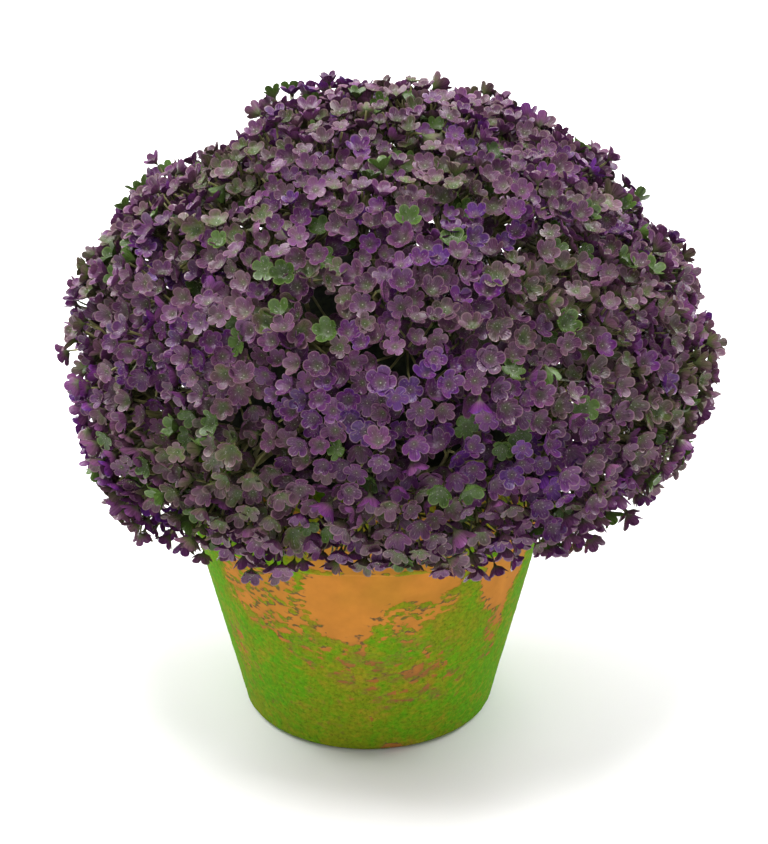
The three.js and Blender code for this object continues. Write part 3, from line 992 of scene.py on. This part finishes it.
def make_floret(name, depth, fall, uneven, notch, draw):
    """One floret form of radius 1 that faces +Z: a closed cup of five lobes, its bead and its calyx."""
    points, marks = [], []

    def point(degrees, radius, height, edge):
        angle = math.radians(degrees)
        points.append((radius * math.cos(angle), radius * math.sin(angle), height))
        marks.append((edge * math.cos(angle), edge * math.sin(angle)))
        return len(points) - 1

    bead = point(0, *BEAD)
    tip = point(0, *CALYX_TIP)
    hollow = depth * DISH_RADIUS ** CUP_CURVE
    side = 180 / LOBES
    throat, dish, back, calyx, rim = [], [], [], [], []
    for lobe in range(LOBES):
        middle = 2 * side * lobe
        size = 1 + draw.normal(0, uneven)
        lift = draw.normal(0, uneven)
        throat.append(point(middle + side, *THROAT))
        calyx.append(point(middle + side, *CALYX))
        dish.append(point(middle, DISH_RADIUS, hollow - DISH_SAG + lift * LIFT_SHARE, DISH_RADIUS))
        back.append(point(middle, BACK_RADIUS, hollow - BACK_SAG + lift * LIFT_SHARE, DISH_RADIUS))
        rim.append(point(middle - side, notch, depth * notch ** CUP_CURVE, 1))
        for degrees, reach in LOBE_ARC:
            height = depth * reach ** CUP_CURVE + lift - (fall if reach > 0.9 else 0)
            rim.append(point(middle + degrees, reach * size, height, 1))
    steps = len(LOBE_ARC) + 1
    front_faces, back_faces, sharp = [], [], []
    for lobe in range(LOBES):
        before = (lobe - 1) % LOBES
        arch = [rim[(lobe * steps + step) % len(rim)] for step in range(steps + 1)]
        front_faces.append((bead, throat[before], throat[lobe]))
        front_faces.append((throat[before], arch[0], dish[lobe], arch[-1], throat[lobe]))
        back_faces.append((calyx[before], tip, calyx[lobe]))
        back_faces.append((calyx[before], calyx[lobe], back[lobe]))
        back_faces.append((calyx[lobe], back[(lobe + 1) % LOBES], arch[-1], back[lobe]))
        for here, there in zip(arch, arch[1:]):
            front_faces.append((dish[lobe], here, there))
            back_faces.append((back[lobe], there, here))
            sharp.append({here, there})
    made = new_object(name, points, (), front_faces + back_faces)
    mesh = made.data
    for edge in mesh.edges:
        edge.use_edge_sharp = set(edge.vertices) in sharp
    layer = mesh.uv_layers.new(name="petal")
    for face in mesh.polygons:
        row = 1.5 if face.index < len(front_faces) else 0.5
        for corner in face.loop_indices:
            across, up = marks[mesh.loops[corner].vertex_index]
            layer.data[corner].uv = (0.5 + CELL_RADIUS * across, row + CELL_RADIUS * up)
    return made


# What every floret's point carries
POINT_VALUES = (("facing", "FLOAT_VECTOR"), ("size", "FLOAT"), ("form", "INT"), ("cell", "FLOAT_VECTOR"))


def make_floret_tree():
    """Sets a floret on every point, turned the way that the point faces, in the tint of its cell."""
    inputs = {"Forms": "Collection", "Width": "Float", "Seed": "Int"}
    net, given = new_geometry_tree("florets on stalks", inputs)
    sockets = {"Collection": given["Forms"], "Separate Children": True, "Reset Children": True}
    forms = net.add("GeometryNodeCollectionInfo", sockets)
    sockets = {2: 0.0, 3: 2 * math.pi, "Seed": given["Seed"]}
    spin = net.add("FunctionNodeRandomValue", sockets, 1, data_type="FLOAT")
    spin = net.add("FunctionNodeAxisAngleToRotation", {"Axis": (0, 0, 1), "Angle": spin})
    sockets = {"Vector": net.named("facing", "FLOAT_VECTOR")}
    faced = net.add("FunctionNodeAlignRotationToVector", sockets, axis="Z")
    sockets = {"Rotation": faced, "Rotate By": spin}
    spun = net.add("FunctionNodeRotateRotation", sockets, rotation_space="LOCAL")
    size = net.named("size", "FLOAT") * (given["Width"] * 0.5)
    placed = net.add("GeometryNodeInstanceOnPoints", {
        "Points": given["Geometry"], "Instance": forms, "Pick Instance": True,
        "Instance Index": net.named("form", "INT"), "Rotation": spun, "Scale": net.joined(size, size, size),
    })
    real = net.add("GeometryNodeRealizeInstances", {"Geometry": placed})
    cell = net.moved(net.named("petal", "FLOAT_VECTOR"), net.named("cell", "FLOAT_VECTOR"))
    cell = net.scale(cell, 1 / CELL_COUNT)
    for name in ("petal", "OFBake"):
        sockets = {"Geometry": real, "Name": name, "Value": cell}
        real = net.add("GeometryNodeStoreNamedAttribute", sockets, data_type="FLOAT2", domain="CORNER")
    for name, _ in POINT_VALUES:
        real = net.add("GeometryNodeRemoveAttribute", {"Geometry": real, "Name": name})
    return close_tree(net, real, given)


def make_floret_material(florets):
    """Glossy moulded lobes: mauve to green by the cell's column, an olive throat, fine ribs, painted glints,
    a pale rim and bead that carry painted highlights, and backs lightened by painted light.
    """
    material = bpy.data.materials.new("moulded lobes")
    net = new_net(material)
    u, v, _ = net.parts(net.scale(net.add("ShaderNodeUVMap", uv_map="petal"), CELL_COUNT))
    column = net.math("FLOOR", u)
    row = net.math("FLOOR", v)
    across = (u - column - 0.5) / CELL_RADIUS
    up = (v - row - 0.5) / CELL_RADIUS
    edge = net.math("SQRT", across * across + up * up)
    angle = net.math("ARCTAN2", up, across)
    front = net.math("MODULO", row, 2.0)
    variant = net.math("FLOOR", row / 2)
    blotch = net.noise(net.joined(u, v, 0.0), 1.6, 1)
    fine = net.noise(net.joined(u, v, 3.0), 14, 3, 0.6)
    round_x = net.math("COSINE", angle) * 4 + column * 9
    round_y = net.math("SINE", angle) * 4 + row * 9
    streak = net.noise(net.joined(round_x, round_y, edge * 0.7), 2.2, 2)

    stops = (
        (0, florets.deep), (0.045, florets.violet), (0.37, florets.mauve), (0.62, florets.dusky),
        (0.84, florets.sage), (1, florets.green),
    )
    wholly_green = net.step(column, TINTS - 1.6, TINTS - 1.4)
    lean = 0.1 + column * (0.9 / (TINTS - 1)) + (0.5 - edge) * 0.45 + (blotch - 0.5) * 0.7
    lobe = net.add("ShaderNodeValToRGB", {0: lean + wholly_green * 0.3}, stops=stops)
    lobe = net.scale(lobe, variant * 0.09 + 0.44 + (fine - 0.5) * 0.5 + (streak - 0.5) * 0.85)
    throat = net.step(edge + (blotch - 0.5) * 0.9, 0.75, 0.12)
    tone = net.mix(throat * (blotch * 1.6 - 0.3), lobe, net.scale(florets.heart, 0.8))
    # Pale flecks on the lobes are painted highlights: glints of the light on the glossy plastic
    painted_glint = net.step(net.noise(net.joined(u, v, 7.0), 11, 2), 0.60, 0.70)
    painted_glint = painted_glint * net.step(edge, 0.2, 0.4) * net.step(edge, 0.9, 0.7)
    tone = net.mix(painted_glint * 0.4, tone, shade("C4B8BC"))
    # The pale rim is the lobes' own lighter edge with a painted highlight along it
    rim = net.mix(wholly_green, florets.rim, shade("8A9A5E"))
    tone = net.mix(net.step(edge, 0.91, 0.99) * 0.4, tone, rim)
    # A pale dot in the throat: the bead's pale colour with a painted glint on it
    tone = net.mix(net.step(edge, 0.08, 0.02) * 0.7, tone, shade("C8C8B0"))
    # The calyx is the backs' own green; the lobe colour on the backs is lightened, which paints the light
    # shining through the thin plastic
    calyx = net.step(edge + (blotch - 0.5) * 0.4, 0.75, 0.25)
    outside = net.mix(calyx * 0.8, net.scale(lobe, 1.35), shade("505A36"))
    tone = net.mix(front, outside, tone)

    ribs = net.math("SINE", angle * 30) * net.step(edge, 0.1, 0.5) * 0.03
    bump = net.bump(fine * 0.2 + streak * 0.2 + ribs, 0.0006, 1.0)
    net.finish(Base_Color=tone, Roughness=fine * 0.3 + 0.07, Normal=bump, Specular_IOR_Level=0.35)
    return material


class VERBENA_OT_florets(Operator):
    """Set the moulded florets of every spray on their stalks' ends"""

    bl_idname = "verbena.florets"
    bl_label = "Florets"

    def execute(self, context):
        florets = context.scene.verbena_florets
        head = lay_out_head(florets)
        draw = np.random.default_rng(florets.seed + 1)
        forms = bpy.data.collections.new("floret forms")
        context.scene.collection.children.link(forms)
        for number, form in enumerate(FLORET_FORMS):
            made = make_floret(f"form_{number}", *form, draw)
            context.scene.collection.objects.unlink(made)
            forms.objects.link(made)
        tree = make_floret_tree()
        material = make_floret_material(florets)
        head["cell"] = np.stack((head["tint"], 2.0 * head["variant"], 0 * head["tint"]), -1)
        for index in range(len(head["sprays"])):
            mine = head["spray"] == index
            source = new_object("floret_points", head["centre"][mine])
            for name, kind in POINT_VALUES:
                store(source, name, kind, head[name][mine])
            values = {"Forms": forms, "Width": florets.width, "Seed": index, "Material": material}
            piece = grown(source, tree, values, f"floret_spray_{index + 1:02d}")
            settle(piece, "petal", f"florets_{index + 1:02d}")
        for made in list(forms.objects):
            bpy.data.objects.remove(made)
        bpy.data.collections.remove(forms)
        return {"FINISHED"}


# Arms and stalks: how far their handles reach against their length, how many steps they have, how thick
# they are at both ends against their setting, how far they run into the next part, and how much a stalk
# sets out along its umbel's aim
ARM_HANDLES = (0.45, 0.35)
ARM_STEPS = 5
ARM_TAPER = (1, 0.75)
ARM_OVERLAP = 0.0004
STALK_HANDLES = (0.35, 0.25)
STALK_STEPS = 3
STALK_TAPER = (1.15, 0.85)
STALK_INSET = 0.2
STALK_AIM = 0.6
SHAFT_POINTS = 3
STEM_SIDES = 5


def bent(start, first, second, end, steps):
    """Points of a bent stalk between two ends, with the two handles that bend it."""
    along = np.linspace(0, 1, steps + 1)[:, None]
    back = 1 - along
    middle = 3 * back ** 2 * along * first + 3 * back * along ** 2 * second
    return back ** 3 * start + middle + along ** 3 * end


def tapered(thickness, taper, steps):
    """Thicknesses along a stalk."""
    return np.linspace(thickness * taper[0], thickness * taper[1], steps + 1)


def stem_lines(head, index, stems, width):
    """The shaft, arms and stalks of one spray, each as its points and their thicknesses."""
    spray = head["sprays"][index]
    shaft = np.linspace(spray["root"], spray["fork"], SHAFT_POINTS)
    lines = [(shaft, np.full(SHAFT_POINTS, stems.shaft))]
    for umbel in np.flatnonzero(head["owner"] == index):
        node, aim = head["node"][umbel], head["aim"][umbel]
        reach = np.linalg.norm(node - spray["fork"])
        first = spray["fork"] + spray["way"] * reach * ARM_HANDLES[0]
        second = node - aim * reach * ARM_HANDLES[1]
        arm = bent(spray["fork"], first, second, node + aim * ARM_OVERLAP, ARM_STEPS)
        lines.append((arm, tapered(stems.arm, ARM_TAPER, ARM_STEPS)))
        for floret in np.flatnonzero(head["umbel"] == umbel):
            facing = head["facing"][floret]
            end = head["centre"][floret] - facing * width * STALK_INSET
            reach = np.linalg.norm(end - node)
            first = node + unit(head["spoke"][floret] + STALK_AIM * aim) * reach * STALK_HANDLES[0]
            second = end - facing * reach * STALK_HANDLES[1]
            stalk = bent(node, first, second, end, STALK_STEPS)
            lines.append((stalk, tapered(stems.stalk, STALK_TAPER, STALK_STEPS)))
    return lines


def make_stem_tree():
    """Sweeps a round section along every line, as thick as its points say."""
    net, given = new_geometry_tree("stems along lines", {"Sides": "Int"})
    lines = net.add("GeometryNodeMeshToCurve", {"Mesh": given["Geometry"]})
    thickness = net.named("thickness", "FLOAT")
    section = net.add("GeometryNodeCurvePrimitiveCircle", {"Resolution": given["Sides"], "Radius": 0.5})
    sockets = {"Curve": lines, "Profile Curve": section, "Scale": thickness, "Fill Caps": True}
    smooth = net.add("GeometryNodeSetShadeSmooth", {"Geometry": net.add("GeometryNodeCurveToMesh", sockets)})
    bare = net.add("GeometryNodeRemoveAttribute", {"Geometry": smooth, "Name": "thickness"})
    return close_tree(net, bare, given)


def make_stem_material(stems):
    """Olive moulded plastic, in random patches of dark and pale olive that are partly painted shade and
    light.
    """
    material = bpy.data.materials.new("olive stems")
    net = new_net(material)
    place = net.place()
    patchy = net.noise(place, 90, 2)
    # Dark and pale olive: partly the stems' own olive, partly painted shade and painted light laid in random
    # patches
    tone = net.mix(net.step(patchy, 0.38, 0.68), stems.dark, stems.pale)
    bump = net.bump(net.noise(place, 900, 2), 0.0003, 0.4)
    net.finish(Base_Color=tone, Roughness=patchy * 0.3 + 0.3, Normal=bump)
    return material


class VERBENA_OT_stems(Operator):
    """Fork every stem from the foam into arms, and every arm into the stalks of its florets"""

    bl_idname = "verbena.stems"
    bl_label = "Stems"

    def execute(self, context):
        stems = context.scene.verbena_stems
        florets = context.scene.verbena_florets
        head = lay_out_head(florets)
        tree = make_stem_tree()
        material = make_stem_material(stems)
        for index in range(len(head["sprays"])):
            points, edges, thickness = [], [], []
            for line, widths in stem_lines(head, index, stems, florets.width):
                first = len(points)
                points.extend(line)
                thickness.extend(widths)
                edges.extend((first + step, first + step + 1) for step in range(len(line) - 1))
            source = new_object("stem_lines", points, edges)
            store(source, "thickness", "FLOAT", thickness)
            values = {"Sides": STEM_SIDES, "Material": material}
            piece = grown(source, tree, values, f"stem_spray_{index + 1:02d}")
            settle(piece, "stem", f"stems_{index + 1:02d}")
        return {"FINISHED"}


# The camera, as the photograph's perspective gives it, and half the floor's width
CAMERA_PLACE = (0.0069, -0.7, 0.414)
CAMERA_TILT = math.radians(22)
CAMERA_LENS = 74.39
SENSOR_WIDTH = 36.0
FLOOR_REACH = 6.0


def add_light(name, place, target, size, watts, spread=math.pi):
    """A square soft light that looks at a target."""
    light = bpy.data.lights.new(name, "AREA")
    light.spread = spread
    light.shape = "SQUARE"
    light.size = size
    light.energy = watts
    lamp = linked(name, light)
    lamp.location = place
    lamp.rotation_euler = (Vector(target) - Vector(place)).to_track_quat("-Z", "Y").to_euler()


class VERBENA_OT_stage(Operator):
    """Lay the pale floor, hang the soft lights and place the camera"""

    bl_idname = "verbena.stage"
    bl_label = "Stage"

    def execute(self, context):
        stage = context.scene.verbena_stage
        signs = ((-1, -1), (1, -1), (1, 1), (-1, 1))
        corners = [(FLOOR_REACH * across, FLOOR_REACH * back, 0) for across, back in signs]
        floor = new_object("floor", corners, (), [(0, 1, 2, 3)])
        material = bpy.data.materials.new("pale floor")
        net = new_net(material)
        mottle = net.noise(net.place(), 3, 2)
        net.finish(Base_Color=net.scale(stage.floor, mottle * 0.02 + 0.99), Roughness=0.9)
        floor.data.materials.append(material)
        middle = (0, 0, 0.15)
        add_light("key light", (-0.2, -0.5, 2.15), middle, 0.55, stage.key)
        add_light("front light", (0.1, -1.7, 1.1), middle, 1.2, stage.front)
        add_light("left light", (-1.3, 0.5, 1.5), middle, 1.0, stage.fill)
        add_light("right light", (1.3, 0.5, 1.5), middle, 1.0, stage.fill)
        add_light("back light", (0, 2.0, 1.6), (0, 2.0, 0), 2.5, stage.back, math.radians(100))
        world = bpy.data.worlds.new("white room")
        net = new_net(world)
        white = net.add("ShaderNodeBackground", {"Color": (1, 1, 1), "Strength": stage.sky})
        net.add("ShaderNodeOutputWorld", {"Surface": white})
        context.scene.world = world
        context.scene.view_settings.view_transform = "Standard"
        lens = bpy.data.cameras.new("camera")
        lens.lens = CAMERA_LENS
        lens.sensor_width = SENSOR_WIDTH
        lens.clip_start = 0.01
        camera = linked("camera", lens)
        camera.location = CAMERA_PLACE
        camera.rotation_euler = (math.pi / 2 - CAMERA_TILT, 0, 0)
        context.scene.camera = camera
        return {"FINISHED"}


OPERATORS = (VERBENA_OT_stage, VERBENA_OT_pot, VERBENA_OT_foam, VERBENA_OT_stems, VERBENA_OT_florets)
SETTINGS = (
    ("verbena_stage", StageSettings), ("verbena_pot", PotSettings), ("verbena_foam", FoamSettings),
    ("verbena_stems", StemSettings), ("verbena_florets", FloretSettings),
)


class VERBENA_PT_panel(Panel):
    """Lists the pieces of the potted verbena"""

    bl_idname = "VERBENA_PT_panel"
    bl_label = "Potted Verbena"
    bl_space_type = "VIEW_3D"
    bl_region_type = "UI"
    bl_category = "Verbena"

    def draw(self, context):
        for operator, (name, group) in zip(OPERATORS, SETTINGS):
            box = self.layout.box()
            box.operator(operator.bl_idname)
            for setting in group.__annotations__:
                box.prop(getattr(context.scene, name), setting)


CLASSES = (*(group for _, group in SETTINGS), *OPERATORS, VERBENA_PT_panel)


def register():
    for part in CLASSES:
        bpy.utils.register_class(part)
    for name, group in SETTINGS:
        setattr(bpy.types.Scene, name, PointerProperty(type=group))


def unregister():
    for name, _ in SETTINGS:
        delattr(bpy.types.Scene, name)
    for part in reversed(CLASSES):
        bpy.utils.unregister_class(part)


def main():
    register()
    for operator in OPERATORS:
        getattr(bpy.ops.verbena, operator.bl_idname.split(".")[1])()


if __name__ == "__main__":
    main()
